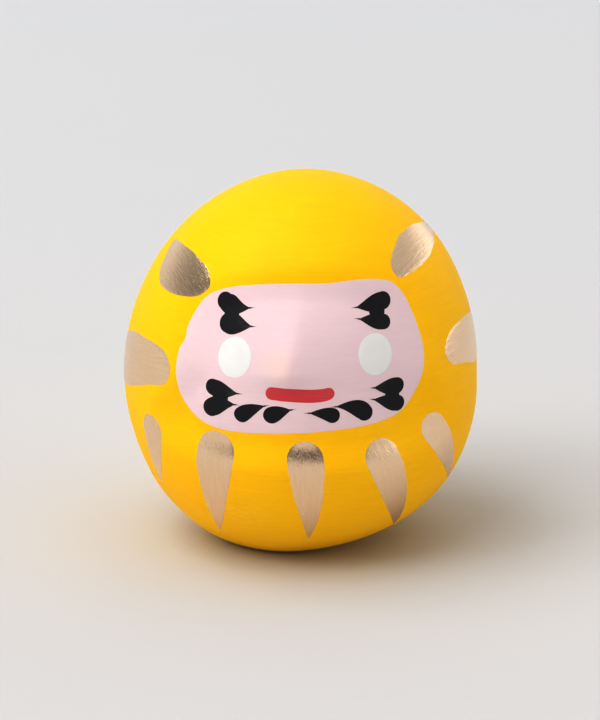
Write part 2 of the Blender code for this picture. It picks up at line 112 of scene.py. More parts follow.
# Each mark: the (azimuth, elevation) of its frame, its strokes and the round blot that joins them.
# A stroke: centre of its head, its middle, its tip, widest width and how far its flanks swell.
FACE_STROKES = {
    "brow_left": (
        (-24.9, 32.0),
        [
            ((-2.55, 1.9), (-0.65, 1.25), (1.8, 1.4), 2.65, 0.35),
            ((-1.3, -1.35), (0.4, -1.55), (2.7, -1.5), 3.4, 0.15),
        ],
        ((-1.15, 0.45), 1.33),
    ),
    "brow_right": (
        (25.9, 32.7),
        [
            ((2.3, 1.55), (0.1, 1.2), (-2.3, 1.15), 2.7, 0.15),
            ((2.05, -1.7), (0.1, -1.3), (-2.2, -0.75), 2.5, 0.2),
        ],
        ((1.15, 0.1), 1.35),
    ),
    "cheek_beard_left": (
        (-26.4, 4.8),
        [
            ((-2.15, 1.55), (0.05, 1.15), (2.45, 1.05), 2.65, 0.2),
            ((-2.3, -1.9), (-0.4, -1.15), (2.0, -0.85), 2.95, 0.15),
        ],
        ((-0.65, 0.1), 1.42),
    ),
    "cheek_beard_right": (
        (29.3, 5.7),
        [
            ((2.0, 1.1), (0.05, 1.15), (-2.2, 1.35), 2.75, 0.1),
            ((2.2, -1.8), (0.3, -1.2), (-2.35, -0.55), 2.6, 0.2),
        ],
        ((1.2, -0.15), 1.33),
    ),
    "chin_stroke_left_outer": ((-16.0, 1.8), [((-1.85, -0.9), (-0.25, 0.05), (2.0, 0.85), 2.6, 0.05)], None),
    "chin_stroke_left_inner": ((-6.5, 1.6), [((-1.5, -0.5), (-0.1, 0.05), (1.6, 0.5), 2.75, 0.0)], None),
    "chin_stroke_right_inner": ((6.9, 1.1), [((1.75, -0.35), (0.25, 0.05), (-2.0, 0.2), 2.45, 0.0)], None),
    "chin_stroke_right_outer": ((16.9, 2.2), [((2.3, -0.85), (0.4, 0.25), (-2.65, 0.55), 2.7, 0.2)], None),
}
EYES = {
    "eye_left": ((-23.6, 18.6), 2.92, 3.27, 5.0),
    "eye_right": ((25.9, 19.3), 2.97, 3.4, -1.0),
}
MOUTH_FRAME = (-0.3, 7.5)
MOUTH = [(-4.5, 0.28), (-2.45, 0.1), (0.0, -0.05), (1.95, -0.12), (3.7, 0.0), (4.5, 0.2)]
MOUTH_WIDTH = 2.15
GOLD_STROKES = {
    "gold_stroke_belly_left_far": ((-57.8, -12.1), (-62.3, -32.6), 5.4),
    "gold_stroke_belly_left": ((-29.7, -13.6), (-37.5, -47.5), 6.7),
    "gold_stroke_belly_centre": ((1.1, -14.2), (4.4, -48.0), 5.95),
    "gold_stroke_belly_right": ((27.1, -14.9), (49.1, -48.0), 5.95),
    "gold_stroke_belly_right_far": ((47.9, -8.7), (71.5, -33.5), 5.1),
}
GOLD_PATCHES = {
    "gold_stroke_brow_left": [
        (-82.0, 46.8), (-63.0, 47.4), (-52.5, 46.0), (-44.5, 44.0), (-40.3, 41.3), (-39.2, 38.0),
        (-44.0, 34.5), (-54.0, 33.3), (-66.0, 33.7), (-73.0, 36.3), (-78.0, 40.2),
    ],
    "gold_stroke_brow_right": [
        (104.0, 48.5), (88.0, 52.5), (72.0, 54.8), (56.0, 54.0), (47.5, 51.2), (41.5, 48.0),
        (38.8, 44.5), (41.4, 41.0), (53.5, 42.3), (64.0, 43.7), (75.0, 45.5), (90.0, 47.0),
    ],
    "gold_stroke_cheek_left": [
        (-104.0, 6.0), (-88.0, 12.5), (-76.0, 16.0), (-66.0, 17.0), (-56.0, 16.7), (-50.2, 15.0),
        (-47.2, 10.5), (-49.5, 5.6), (-58.0, 3.4), (-68.0, 0.2), (-80.0, -2.8), (-92.0, -1.5),
    ],
    "gold_stroke_cheek_right": [
        (108.0, 13.0), (90.0, 19.0), (76.0, 21.5), (64.0, 21.3), (57.5, 19.2),
        (54.5, 15.5), (55.4, 12.3), (59.0, 9.6), (66.0, 8.3), (80.0, 4.8), (94.0, 6.5),
    ],
}
GOLD_TAPER = 1.45  # how slowly a tail narrows: higher keeps it wide for longer
INK_TAPER = 1.9
WHISKER = 0.9  # length of the hair-thin end of an ink stroke
FLARE = 0.2  # a tail widens by this much where its whisker starts,
FLARE_REACH = 0.28  # and narrows again over this length

rng = np.random.default_rng(7)


# --- surface ----------------------------------------------------------------------------------
def unit(v):
    return v / np.linalg.norm(v, axis=-1, keepdims=True)


def direction(azimuth, elevation):
    a, e = np.radians(azimuth), np.radians(elevation)
    return np.stack([np.cos(e) * np.sin(a), -np.cos(e) * np.cos(a), np.sin(e) + 0 * a], -1)


def lean(z):
    """Sideways shift of the hand-formed body at height z."""
    z = np.asarray(z, float)
    down = np.clip((WIDEST_Z - z) / WIDEST_Z, 0, 1)
    below = BELLY_SWAY * np.sin(math.pi * down) + FOOT_LEAN * down**6
    return np.where(z >= WIDEST_Z, CROWN_LEAN * (z - WIDEST_Z) / CROWN_RISE, below)


def turned_reach(d):
    """Distance from the inner centre to the plain turned body along unit directions d."""
    across = np.hypot(d[..., 0], d[..., 1] / FRONT_TO_BACK) / RADIUS
    above = 1 / np.hypot(across, d[..., 2] / CROWN_RISE)
    down = np.maximum(-d[..., 2], 0) / BELLY_DROP
    reach = 1 / np.hypot(across, down)
    for _ in range(REACH_STEPS):
        value = (across * reach) ** 2 + (down * reach) ** BELLY_FULLNESS - 1
        slope = 2 * across**2 * reach
        slope = slope + BELLY_FULLNESS * down**BELLY_FULLNESS * reach ** (BELLY_FULLNESS - 1)
        reach = reach - value / slope
    return np.where(d[..., 2] >= 0, above, reach)


def smooth(x):
    x = np.clip(x, 0, 1)
    return x * x * (3 - 2 * x)


def frame_at(azimuth, elevation):
    """Unit vectors outward, level towards +X at the face, and up."""
    out = direction(azimuth, elevation)
    a = math.radians(azimuth)
    u = np.array([math.cos(a), math.sin(a), 0.0])
    return out, u, np.cross(out, u)


def to_flat(place, d):
    """Lengths along u and v from the frame's centre to d, measured over the body."""
    out, u, v = place
    turn = np.arccos(np.clip(d @ out, -1, 1))
    du, dv = d @ u, d @ v
    scale = turned_reach(out) * turn / np.maximum(np.hypot(du, dv), 1e-9)
    return du * scale, dv * scale


def from_flat(place, flat):
    """Directions that lie at flat (..., 2) over the body from the frame's centre."""
    out, u, v = place
    length = np.hypot(flat[..., 0], flat[..., 1])
    turn = length / turned_reach(out)
    safe = np.maximum(length, 1e-9)[..., None]
    side = (flat[..., :1] * u + flat[..., 1:] * v) / safe
    return unit(np.cos(turn)[..., None] * out + np.sin(turn)[..., None] * side)


FACE_FRAME = frame_at(0.0, FACE_ELEVATION)
NOSE_FRAME = frame_at(NOSE_AZIMUTH, NOSE_ELEVATION)
# Hand-made unevenness: a direction, waves over the body, a phase and a height in millimetres.
SWELLS = [
    (unit(rng.normal(size=3)), wave, rng.uniform(0, math.tau), size)
    for wave, size in [(5, 0.05)] * 4 + [(9, 0.028)] * 6 + [(17, 0.011)] * 8
]
CREASE_FRAME = frame_at(-9.0, 47.0)


def relief(d):
    """How far the modelled face and the hand-made unevenness stand off the turned body."""
    u, v = to_flat(FACE_FRAME, d)
    out = np.abs(u / FACE_HALF_WIDTH) ** CORNER_POWER + np.abs(v / FACE_HALF_HEIGHT) ** CORNER_POWER
    start = SINK_FULL + CHIN_DROP * smooth(-v / FACE_HALF_HEIGHT)
    sink = FACE_SINK * (1 - smooth((out ** (1 / CORNER_POWER) - start) / SINK_FADE))
    above = (v - BROW_PLACE * FACE_HALF_HEIGHT) / BROW_HALF_HEIGHT
    brow = BROW_RISE * np.exp(-(above**2) - (u / BROW_HALF_WIDTH) ** 2)
    nu, nv = to_flat(NOSE_FRAME, d)
    run = np.where(nv > 0, NOSE_BRIDGE, NOSE_END)
    nu = nu - NOSE_SLANT * nv
    ridge = np.exp(NOSE_ROUND - np.hypot(NOSE_ROUND, nu / NOSE_HALF_WIDTH))
    nose = NOSE_RISE * ridge * np.exp(-((nv / run) ** 2))
    front = smooth(-d[..., 1] / FRONT_FADE)
    uneven = sum(size * np.sin(wave * (d @ axis) + phase) for axis, wave, phase, size in SWELLS)
    cu, cv = to_flat(CREASE_FRAME, d)
    bend = cv + CREASE_SLOPE * cu + CREASE_WAVE * np.sin(cu / CREASE_WAVE_LENGTH)
    crease = -CREASE_DEPTH * np.exp(-((bend / CREASE_HALF_HEIGHT) ** 2) - (cu / CREASE_HALF_WIDTH) ** 2)
    return (brow + nose - sink + crease) * front + uneven


def on_body(d, lift=0.0, floor=FOOT_Z):
    """Points in metres along d, lift millimetres outside the surface and never below floor."""
    reach = turned_reach(d) + relief(d) + lift
    down = np.maximum(-d[..., 2], 1e-6)
    reach = np.where(d[..., 2] < 0, np.minimum(reach, (WIDEST_Z - floor) / down), reach)
    z = WIDEST_Z + reach * d[..., 2]
    return np.stack([reach * d[..., 0] + lean(z), reach * d[..., 1], z], -1) * MM


# --- nodes for materials ------------------------------------------------------------------------
class Tree:
    """Short way to wire a material's nodes."""

    def __init__(self, name, colour, roughness, metallic=0.0, specular=0.5):
        self.made = bpy.data.materials.new(name)
        self.made.use_nodes = True
        self.made.diffuse_color = (*colour, 1)
        self.tree = self.made.node_tree
        self.shader = self.tree.nodes["Principled BSDF"]
        self.shader.inputs["Base Color"].default_value = (*colour, 1)
        self.shader.inputs["Roughness"].default_value = roughness
        self.shader.inputs["Metallic"].default_value = metallic
        self.shader.inputs["Specular IOR Level"].default_value = specular

    def add(self, kind, inputs=None, **settings):
        made = self.tree.nodes.new("ShaderNode" + kind)
        for key, value in settings.items():
            setattr(made, key, value)
        for key, value in (inputs or {}).items():
            self.put(made.inputs[key], value)
        return made

    def put(self, socket, value):
        if isinstance(value, bpy.types.NodeSocket):
            self.tree.links.new(value, socket)
        else:
            socket.default_value = value

    def times(self, first, second):
        return self.add("Math", {0: first, 1: second}, operation="MULTIPLY").outputs[0]

    def object_place(self, scale=(1, 1, 1)):
        place = self.add("TexCoord").outputs["Object"]
        return self.add("Mapping", {"Vector": place, "Scale": scale}).outputs[0]

    def uv_place(self, layer, scale=(1, 1, 1)):
        place = self.add("UVMap", uv_map=layer).outputs[0]
        return self.add("Mapping", {"Vector": place, "Scale": scale}).outputs[0]

    def noise(self, place, scale=1.0, detail=2.0, roughness=0.5, distortion=0.0):
        inputs = {
            "Vector": place, "Scale": scale, "Detail": detail,
            "Roughness": roughness, "Distortion": distortion,
        }
        return self.add("TexNoise", inputs).outputs["Fac"]

    def spread(self, value, low, high, to_low=0.0, to_high=1.0):
        inputs = {"Value": value, 1: low, 2: high, 3: to_low, 4: to_high}
        return self.add("MapRange", inputs, clamp=True).outputs[0]

    def mix(self, share, first, second, blend="MIX"):
        mixed = self.add("Mix", data_type="RGBA", blend_type=blend)
        self.put(mixed.inputs[0], share)
        self.put(mixed.inputs[6], first)
        self.put(mixed.inputs[7], second)
        return mixed.outputs[2]

    def bump(self, height, distance, strength=1.0, under=None):
        inputs = {"Height": height, "Distance": distance, "Strength": strength}
        if under:
            inputs["Normal"] = under
        return self.add("Bump", inputs).outputs[0]

    def finish(self, colour=None, roughness=None, normal=None):
        for key, value in (("Base Color", colour), ("Roughness", roughness), ("Normal", normal)):
            if value:
                self.put(self.shader.inputs[key], value)
        return self.made


def rgb(*colour):
    return (*colour, 1.0)


def patch_share(t, azimuth, elevation, reach):
    """1 at a place on the body, fading to 0 at reach millimetres from it."""
    middle = on_body(direction(azimuth, elevation)).tolist()
    far = t.add("VectorMath", {0: t.object_place(), 1: middle}, operation="DISTANCE")
    return t.spread(far.outputs["Value"], reach * MM, 0.0)


def yellow_paint():
    t = Tree("yellow_paint", (0.99, 0.60, 0.010), 0.5, specular=0.16)
    level = t.object_place((190, 190, 2600))
    grain = t.object_place()
    broad = t.noise(grain, 75, 3)
    streak = t.noise(level, 1.0, 3, 0.6)
    fine = t.noise(grain, 2600, 3, 0.6)
    tone = t.spread(broad, 0.35, 0.7)
    colour = t.mix(tone, rgb(0.995, 0.61, 0.011), rgb(0.98, 0.585, 0.008))
    lines = t.spread(streak, 0.3, 0.75, 0.97, 1.02)
    colour = t.mix(1.0, colour, lines, "MULTIPLY")
    flecks = t.spread(t.noise(t.object_place((900, 900, 2600)), 1.0, 3, 0.7), 0.52, 0.66)
    scuffed = t.times(patch_share(t, -21.5, -35.6, 5.0), flecks)
    colour = t.mix(t.times(scuffed, 0.35), colour, rgb(0.95, 0.78, 0.4))
    rough = t.spread(streak, 0.3, 0.7, 0.44, 0.56)
    paper = t.noise(grain, 620, 3, 0.55)
    normal = t.bump(streak, 0.00003, 0.4)
    normal = t.bump(paper, 0.00011, 0.3, normal)
    normal = t.bump(fine, 0.00005, 0.45, normal)
    return t.finish(colour, rough, normal)


def pink_paint():
    t = Tree("pink_paint", (0.80, 0.646, 0.674), 0.55, specular=0.25)
    level = t.object_place((220, 220, 2900))
    grain = t.object_place()
    broad = t.noise(grain, 110, 3)
    streak = t.noise(level, 1.0, 3, 0.6)
    fine = t.noise(grain, 2600, 3, 0.6)
    colour = t.mix(t.spread(broad, 0.3, 0.7), rgb(0.81, 0.655, 0.683), rgb(0.79, 0.637, 0.665))
    lines = t.spread(streak, 0.3, 0.75, 0.98, 1.015)
    colour = t.mix(1.0, colour, lines, "MULTIPLY")
    # Painted warm glow beside the nose tip: a peach tint mixed into the pink that stands in for bounce light
    # from the yellow body.
    edge_wear_and_painted_glow = t.times(patch_share(t, -7.8, 17.2, 3.4), 0.42)
    colour = t.mix(edge_wear_and_painted_glow, colour, rgb(0.86, 0.66, 0.53))
    paper = t.noise(grain, 620, 3, 0.55)
    normal = t.bump(streak, 0.000025, 0.4)
    normal = t.bump(paper, 0.00011, 0.3, normal)
    normal = t.bump(fine, 0.00004, 0.4, normal)
    return t.finish(colour, t.spread(fine, 0.3, 0.7, 0.48, 0.6), normal)


def white_paint():
    t = Tree("white_paint", (0.79, 0.795, 0.785), 0.42, specular=0.3)
    grain = t.object_place()
    soft = t.noise(grain, 500, 3)
    fine = t.noise(grain, 2400, 3, 0.6)
    colour = t.mix(t.spread(soft, 0.3, 0.7), rgb(0.80, 0.805, 0.795), rgb(0.775, 0.78, 0.77))
    normal = t.bump(soft, 0.00004, 0.5)
    normal = t.bump(fine, 0.00003, 0.35, normal)
    return t.finish(colour, t.spread(fine, 0.3, 0.7, 0.36, 0.48), normal)


def brushed_paint(name, thick, thin, roughness):
    """A stroke of dark paint: full at the head, drier and streaked towards the tip."""
    t = Tree(name, thick, roughness, specular=0.3)
    hairs = t.noise(t.uv_place("brush", (0.35, 5.5, 1)), 1.0, 3, 0.65)
    place = t.add("UVMap", uv_map="place").outputs[0]
    along = t.add("SeparateXYZ", {0: place}).outputs[0]
    dry = t.times(t.spread(along, 0.45, 1.0), t.spread(hairs, 0.5, 0.68))
    colour = t.mix(t.times(dry, 0.55), rgb(*thick), rgb(*thin))
    fine = t.noise(t.object_place(), 2600, 2)
    normal = t.bump(hairs, 0.00004, 0.5)
    normal = t.bump(fine, 0.00002, 0.3, normal)
    rough = t.spread(hairs, 0.35, 0.7, roughness - 0.07, roughness + 0.12)
    return t.finish(colour, rough, normal)


def gold_foil():
    t = Tree("gold_foil", (0.93, 0.70, 0.47), 0.3, metallic=1.0)
    hairs = t.noise(t.uv_place("brush", (0.16, 4.2, 1)), 1.0, 4, 0.7, 0.4)
    folds = t.noise(t.uv_place("brush", (0.5, 1.5, 1)), 1.0, 3, 0.6, 0.8)
    fine = t.noise(t.object_place(), 2200, 3, 0.65)
    colour = t.mix(t.spread(hairs, 0.3, 0.7), rgb(0.95, 0.75, 0.54), rgb(0.88, 0.67, 0.47))
    normal = t.bump(folds, 0.00014, 0.3)
    normal = t.bump(hairs, 0.00006, 0.4, normal)
    normal = t.bump(fine, 0.00002, 0.25, normal)
    return t.finish(colour, t.spread(fine, 0.3, 0.75, 0.17, 0.29), normal)


def washi_paper():
    t = Tree("washi_paper", (0.78, 0.73, 0.62), 0.85, specular=0.3)
    grain = t.object_place()
    fibre = t.noise(t.object_place((500, 2600, 900)), 1.0, 5, 0.7, 1.2)
    cloud = t.noise(grain, 260, 3)
    colour = t.mix(t.spread(cloud, 0.3, 0.7), rgb(0.79, 0.74, 0.63), rgb(0.70, 0.64, 0.52))
    colour = t.mix(t.spread(fibre, 0.55, 0.75, 0, 0.5), colour, rgb(0.86, 0.82, 0.73))
    normal = t.bump(fibre, 0.00009, 0.7)
    return t.finish(colour, t.spread(cloud, 0.3, 0.7, 0.78, 0.92), normal)


def clay():
    t = Tree("clay", (0.36, 0.22, 0.14), 0.9, specular=0.3)
    grain = t.object_place()
    lumps = t.noise(grain, 240, 5, 0.6)
    grit = t.noise(grain, 1800, 4, 0.7)
    colour = t.mix(t.spread(lumps, 0.3, 0.7), rgb(0.38, 0.235, 0.15), rgb(0.27, 0.16, 0.10))
    normal = t.bump(lumps, 0.0004, 0.5)
    normal = t.bump(grit, 0.0001, 0.6, normal)
    return t.finish(colour, t.spread(grit, 0.3, 0.7, 0.82, 0.96), normal)


LOOKS = {
    "yellow_paint": yellow_paint(),
    "pink_paint": pink_paint(),
    "white_paint": white_paint(),
    "black_paint": brushed_paint("black_paint", (0.022, 0.021, 0.025), (0.2, 0.17, 0.18), 0.4),
    "red_paint": brushed_paint("red_paint", (0.645, 0.09, 0.103), (0.74, 0.17, 0.19), 0.42),
    "gold_foil": gold_foil(),
    "washi_paper": washi_paper(),
    "clay": clay(),
}


# --- pieces -------------------------------------------------------------------------------------
def add_piece(name, points, faces, slot, *nodes):
    mesh = bpy.data.meshes.new(name)
    mesh.from_pydata(points.tolist(), [], [[int(i) for i in face] for face in faces])
    mesh.validate()
    mesh.shade_smooth()
    mesh.materials.append(LOOKS[slot])
    piece = bpy.data.objects.new(name, mesh)
    bpy.context.scene.collection.objects.link(piece)
    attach(piece, "root")
    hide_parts(*nodes)
    return piece


def surface_normals(azimuths, elevations):
    """Normals of the outer surface on the grid, by small steps along both angles."""
    def step(east, north):
        ahead = on_body(direction(azimuths + east, elevations + north))
        return ahead - on_body(direction(azimuths - east, elevations - north))

    return unit(np.cross(step(NORMAL_STEP, 0.0), step(0.0, NORMAL_STEP)))


NORMAL_STEP = 0.25
OUTER_ROWS = 192
OUTER_TURNS = 384  # round the whole body
INNER_SHARE = 8  # the inside has one row for so many rows outside
CROWN_EDGE = 89.9  # elevation of the highest ring, beside the crown's single point
SOLE_EDGE = -67.0  # elevation of the last ring before the opening in the foot
SOLE_FLAT = -69.0  # the outside is level below this elevation


def half_shell(name, first, node):
    """Half of the hollow body from azimuth first, round 180 degrees.

    The outside is laid first, then the inside, then the flat faces at the foot and at the joint.
    """
    rim = [-math.degrees(math.atan2(WIDEST_Z - z, OPENING_RADIUS)) for z in (FOOT_Z, FOOT_Z + WALL)]
    azimuths = first + np.linspace(0, 180, OUTER_TURNS // 2 + 1)
    points, normals, faces, columns, grids, base = [], [], [], [], [], 0
    layers = ((0.0, FOOT_Z, 1), (-WALL, FOOT_Z + WALL, INNER_SHARE))
    for k, (lift, floor, share) in enumerate(layers):
        rows = OUTER_ROWS // share
        az = azimuths[::share]
        el = np.append(np.linspace(CROWN_EDGE, SOLE_EDGE, rows), rim[k])
        a, e = np.meshgrid(az, el)
        d = direction(a, e)
        points.append(on_body(d, lift, floor).reshape(-1, 3))
        side = surface_normals(a, np.clip(e, -89, 89.5))
        side[e < SOLE_FLAT] = (0, 0, -1)
        normals.append((side if k == 0 else -side).reshape(-1, 3))
        index = base + np.arange(a.size).reshape(a.shape)
        corners = [index[:-1, :-1], index[1:, :-1], index[1:, 1:], index[:-1, 1:]]
        quads = np.stack(corners, -1).reshape(-1, 4)
        faces += (quads if k == 0 else quads[:, ::-1]).tolist()
        top = base + a.size
        points.append(on_body(np.array([[0.0, 0.0, 1.0]]), lift, floor))
        normals.append(np.array([[0, 0, 1.0 if k == 0 else -1.0]]))
        ring = index[0]
        for i, j in zip(ring, ring[1:]):
            faces.append([top, int(i), int(j)] if k == 0 else [top, int(j), int(i)])
        columns.append([[top] + index[:, c].tolist() for c in (0, -1)])
        grids.append(index)
        base = top + 1
    flat_from = len(faces)
    outer_foot, inner_foot = grids[0][-1], grids[1][-1]
    for j in range(len(inner_foot) - 1):
        chunk = outer_foot[j * INNER_SHARE : (j + 1) * INNER_SHARE + 1]
        faces.append([int(inner_foot[j])] + [int(i) for i in chunk] + [int(inner_foot[j + 1])])
    for side in (0, 1):
        outside, inside = columns[0][side], columns[1][side]
        share = (len(outside) - 1) / (len(inside) - 1)
        for j in range(len(inside) - 1):
            low, high = round(j * share), round((j + 1) * share)
            face = [inside[j]] + outside[low : high + 1] + [inside[j + 1]]
            faces.append(face if side == 0 else face[::-1])
    points, normals = np.concatenate(points), np.concatenate(normals)
    piece = add_piece(name, points, faces, "yellow_paint", node)
    mesh = piece.data
    rims = {key for polygon in list(mesh.polygons)[flat_from:] for key in polygon.edge_keys}
    for edge in mesh.edges:
        edge.use_edge_sharp = edge.key in rims
    loops = []
    for polygon in mesh.polygons:
        if polygon.index < flat_from:
            loops += [normals[v] for v in polygon.vertices]
        else:
            loops += [polygon.normal] * len(polygon.vertices)
    mesh.normals_split_custom_set(loops)
    return piece


AT_ONCE = 400  # points compared with all segments in one go, which bounds the memory


def edge_distance(points, starts, ends):
    """Distance from each 2-D point to the nearest of the segments."""
    found = np.full(len(points), 1e9)
    along = ends - starts
    square = np.maximum((along**2).sum(1), 1e-12)
    for i in range(0, len(points), AT_ONCE):
        p = points[i : i + AT_ONCE, None, :] - starts[None]
        t = np.clip((p * along[None]).sum(2) / square, 0, 1)
        found[i : i + AT_ONCE] = np.sqrt(((p - t[..., None] * along[None]) ** 2).sum(2)).min(1)
    return found


def within(points, loop):
    """Whether each 2-D point lies inside the closed loop."""
    x, y = points[:, :1], points[:, 1:]
    a, b = loop, np.roll(loop, -1, axis=0)
    crosses = (a[:, 1] > y) != (b[:, 1] > y)
    rise = np.where(b[:, 1] == a[:, 1], 1e-12, b[:, 1] - a[:, 1])
    where = (b[:, 0] - a[:, 0]) * (y - a[:, 1]) / rise + a[:, 0]
    return (crosses & (x < where)).sum(1) % 2 == 1


def film(name, place, loops, slot, lift, thick, spacing, brush=None):
    """A closed thin film over the union of the loops (millimetres in the frame at place).

    brush gives (start, end) of the stroke in the same lengths, which its streaks run along.
    """
    everywhere = np.concatenate(loops)
    low, high = everywhere.min(0) - spacing, everywhere.max(0) + spacing
    rows = np.arange(low[1], high[1], spacing * 0.87)
    grid = []
    for i, row in enumerate(rows):
        line = np.arange(low[0] + (i % 2) * spacing / 2, high[0], spacing)
        grid.append(np.stack([line, np.full_like(line, row)], 1))
    grid = np.concatenate(grid)
    starts = everywhere
    ends = np.concatenate([np.roll(loop, -1, axis=0) for loop in loops])
    keep = np.zeros(len(grid), bool)
    for loop in loops:
        keep |= within(grid, loop)
    keep &= edge_distance(grid, starts, ends) > 0.4 * spacing
    grid = grid[keep]
    rings, count = [], 0
    for loop in loops:
        rings.append(list(range(count, count + len(loop))))
        count += len(loop)
    corners = [Vector(p) for p in np.concatenate([everywhere, grid]).tolist()]
    made = delaunay_2d_cdt(corners, [], rings, 1, 1e-5)
    flat = np.array([tuple(v) for v in made[0]])
    triangles = np.array([f for f in made[2] if len(f) == 3], int)
    a, b, c = (flat[triangles[:, k]] for k in range(3))
    area = (b[:, 0] - a[:, 0]) * (c[:, 1] - a[:, 1]) - (b[:, 1] - a[:, 1]) * (c[:, 0] - a[:, 0])
    triangles = triangles[np.abs(area) > 1e-9]
    area = area[np.abs(area) > 1e-9]
    triangles[area < 0] = triangles[area < 0][:, ::-1]
    used, triangles = np.unique(triangles, return_inverse=True)
    triangles = triangles.reshape(-1, 3)
    flat = flat[used]
    edges = np.concatenate([triangles[:, [0, 1]], triangles[:, [1, 2]], triangles[:, [2, 0]]])
    edges = [tuple(edge) for edge in edges.tolist()]
    known = set(edges)
    border = np.array([(i, j) for i, j in edges if (j, i) not in known], int)
    deep = edge_distance(flat, flat[border[:, 0]], flat[border[:, 1]])  # from the film's edge
    d = from_flat(place, flat)
    top = on_body(d, lift + thick * (1 - EDGE_DROP * np.exp(-deep / EDGE_SOFT)))
    under = on_body(d, -SUNK)
    n = len(flat)
    faces = triangles.tolist() + (triangles[:, ::-1] + n).tolist()
    faces += [[i + n, j + n, j, i] for i, j in border.tolist()]
    piece = add_piece(name + "_film", np.concatenate([top, under]), faces, slot, name)
    mesh = piece.data
    mesh.set_sharp_from_angle(angle=math.radians(FILM_SHARP))
    start, end = brush if brush is not None else ((0.0, 0.0), (1.0, 0.0))
    start, end = np.array(start, float), np.array(end, float)
    length = np.linalg.norm(end - start)
    along = (end - start) / length
    across = np.array([-along[1], along[0]])
    shift = rng.uniform(-50, 50, 2)
    local = flat - start
    brushed = np.stack([local @ along + shift[0], local @ across + shift[1]], 1)
    placed = np.stack([(local @ along) / length, deep], 1)
    corner_of = np.empty(len(mesh.loops), np.int32)
    mesh.loops.foreach_get("vertex_index", corner_of)
    corner_of %= n
    for layer, values in (("brush", brushed), ("place", placed)):
        uv = mesh.uv_layers.new(name=layer)
        uv.data.foreach_set("uv", values[corner_of].astype(np.float32).ravel())
    return piece


# --- outlines of marks ----------------------------------------------------------------------------
def smooth_loop(points, per_span, closed=True):
    """Catmull-Rom curve through the points."""
    p = np.asarray(points, float)
    if closed:
        p = np.concatenate([p[-1:], p, p[:2]])
    else:
        p = np.concatenate([2 * p[:1] - p[1:2], p, 2 * p[-1:] - p[-2:-1]])
    t = np.linspace(0, 1, per_span, endpoint=False)[:, None]
    made = [
        0.5 * (2 * b + (c - a) * t + (2 * a - 5 * b + 4 * c - d) * t**2 + (3 * b - a - 3 * c + d) * t**3)
        for a, b, c, d in zip(p, p[1:], p[2:], p[3:])
    ]
    if not closed:
        made.append(p[-2:-1])
    return np.concatenate(made)


def unsteady(loop, size, waves=5):
    """The loop with a small hand-made unevenness across its edge."""
    t = np.linspace(0, math.tau, len(loop), endpoint=False)
    shift = sum(
        rng.normal() * np.sin(k * t + rng.uniform(0, math.tau)) / k for k in range(2, 2 + waves)
    )
    edge = np.roll(loop, -1, axis=0) - np.roll(loop, 1, axis=0)
    outward = unit(np.stack([edge[:, 1], -edge[:, 0]], 1))
    return loop + outward * (shift * size)[:, None]


def stroke_outline(head, middle, tip, width, taper, swell=0.0, whisker=0.0, hair=0.05, steps=40):
    """A brush mark along a bent line: round at head, narrowing to tip, then a hair-thin whisker."""
    head, middle, tip = (np.array(p, float) for p in (head, middle, tip))
    bend = 2 * middle - (head + tip) / 2
    length = np.linalg.norm(tip - head)
    full = length + whisker
    x = np.linspace(0, full, steps)[:, None]
    t = np.clip(x / length, 0, 1)
    line = (1 - t) ** 2 * head + 2 * t * (1 - t) * bend + t**2 * tip
    leaving = unit(tip - bend)
    line = line + np.maximum(x - length, 0) * leaving
    edge = unit(np.gradient(line, axis=0))
    side = np.stack([-edge[:, 1], edge[:, 0]], 1)
    body = width / 2 * (1 + swell * np.sin(math.pi * t)) * (1 - t**taper)
    flare = (hair + FLARE * np.exp(-np.abs(x - length) / FLARE_REACH)) * (1 - (x / full) ** 4)
    half = np.maximum(body, flare) if whisker else body
    turn = math.atan2(edge[0][1], edge[0][0]) + np.radians(np.linspace(90, 270, 25))
    arc = head + width / 2 * np.stack([np.cos(turn), np.sin(turn)], 1)
    upper, lower = (line + side * half)[1:-1], (line - side * half)[1:-1]
    return np.concatenate([line[-1:], upper[::-1], arc, lower])


def ink_mark(name, place, strokes, blot):
    loops = [
        unsteady(stroke_outline(*stroke[:4], INK_TAPER, stroke[4], WHISKER), 0.01) for stroke in strokes
    ]
    if blot:
        a = np.linspace(0, math.tau, 40, endpoint=False)
        loops.append(np.array(blot[0]) + blot[1] * np.stack([np.cos(a), np.sin(a)], 1))
    head = np.mean([s[0] for s in strokes], axis=0)
    tip = np.mean([s[2] for s in strokes], axis=0)
    place = frame_at(*place)
    return film(name, place, loops, "black_paint", PANEL_THICK, MARK_THICK, 0.3, (head, tip))


def eye(name, place, half_width, half_height, tilt):
    a = np.linspace(0, math.tau, 96, endpoint=False)
    turn = math.radians(tilt)
    x, y = half_width * np.cos(a), half_height * np.sin(a)
    cosine, sine = math.cos(turn), math.sin(turn)
    loop = unsteady(np.stack([x * cosine - y * sine, x * sine + y * cosine], 1), 0.03)
    return film(name, frame_at(*place), [loop], "white_paint", PANEL_THICK, MARK_THICK, 0.35)


def mouth():
    line = smooth_loop(MOUTH, 12, closed=False)
    edge = np.gradient(line, axis=0)
    side = unit(np.stack([-edge[:, 1], edge[:, 0]], 1))
    t = np.linspace(0, 1, len(line))[:, None]
    half = MOUTH_WIDTH / 2 * (1.0 - 0.06 * t + 0.05 * np.sin(math.pi * t))
    end_angle = math.atan2(*edge[-1][::-1])
    start_angle = math.atan2(*edge[0][::-1])
    right = end_angle + np.radians(np.linspace(90, -90, 17)[1:-1])
    left = start_angle + np.radians(np.linspace(270, 90, 17)[1:-1])
    loop = np.concatenate([
        line + side * half,
        line[-1] + half[-1] * np.stack([np.cos(right), np.sin(right)], 1),
        (line - side * half)[::-1],
        line[0] + half[0] * np.stack([np.cos(left), np.sin(left)], 1),
    ])
    place, brush = frame_at(*MOUTH_FRAME), (MOUTH[0], MOUTH[-1])
    return film("mouth", place, [loop[::-1]], "red_paint", PANEL_THICK, MARK_THICK, 0.3, brush)


